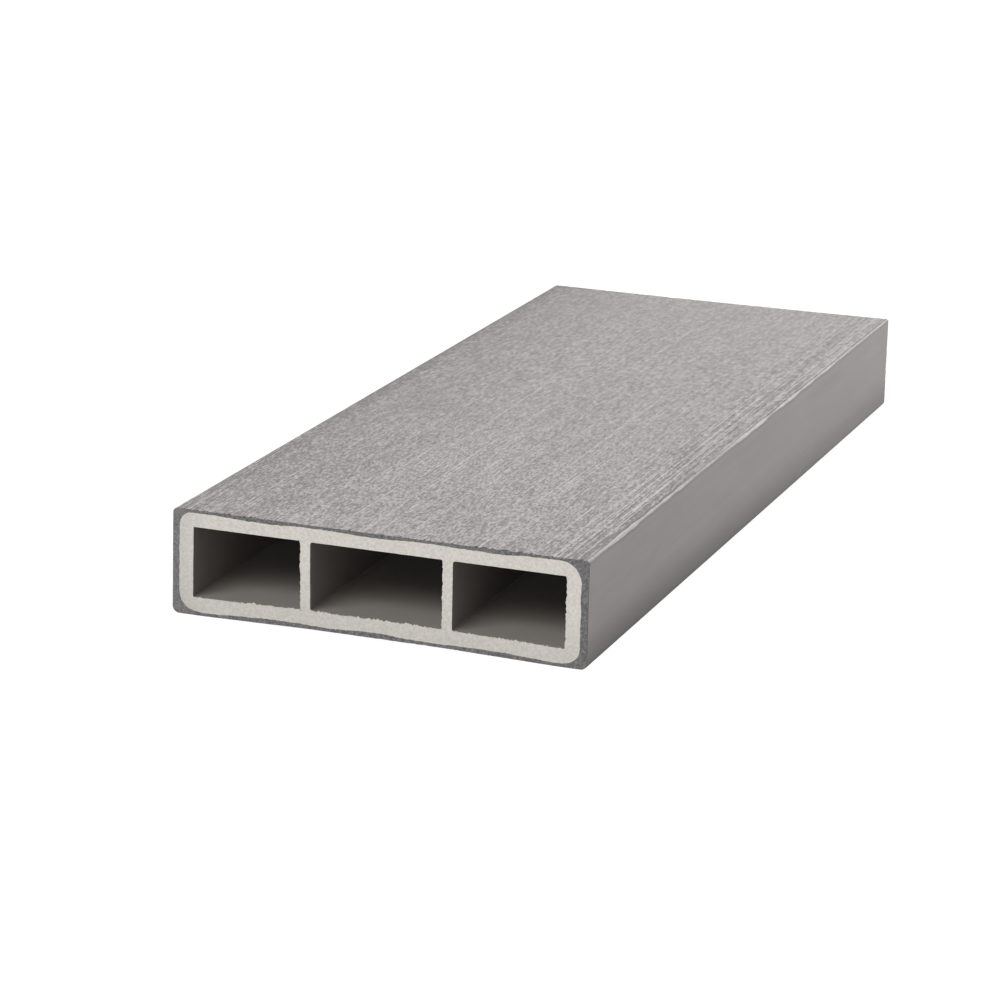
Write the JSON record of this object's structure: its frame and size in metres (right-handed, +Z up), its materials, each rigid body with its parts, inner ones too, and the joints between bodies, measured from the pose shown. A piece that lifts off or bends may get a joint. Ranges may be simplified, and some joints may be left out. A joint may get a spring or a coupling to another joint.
{
  "type": "composite fence board",
  "caption": "Sawn length of hollow composite fence board: a pale chambered core in a thin dark cap with a brushed grain, for fencing and screening.",
  "frame": {"origin": "middle of the underside, on the plane that the board lies on", "axes": "+X across the board, +Y along it away from the sawn end that the picture shows, +Z up through its thickness, out of the embossed face"},
  "size_m": [0.1, 0.25, 0.025],
  "materials": {
    "core_composite": "pale warm grey wood plastic composite, sawn matt at the ends",
    "cap_composite": "mid grey capping, brushed and embossed on the broad faces, smooth on the edges"
  },
  "bodies": {
    "root": {"core": "core_composite", "cap": "cap_composite"}
  },
  "joints": []
}
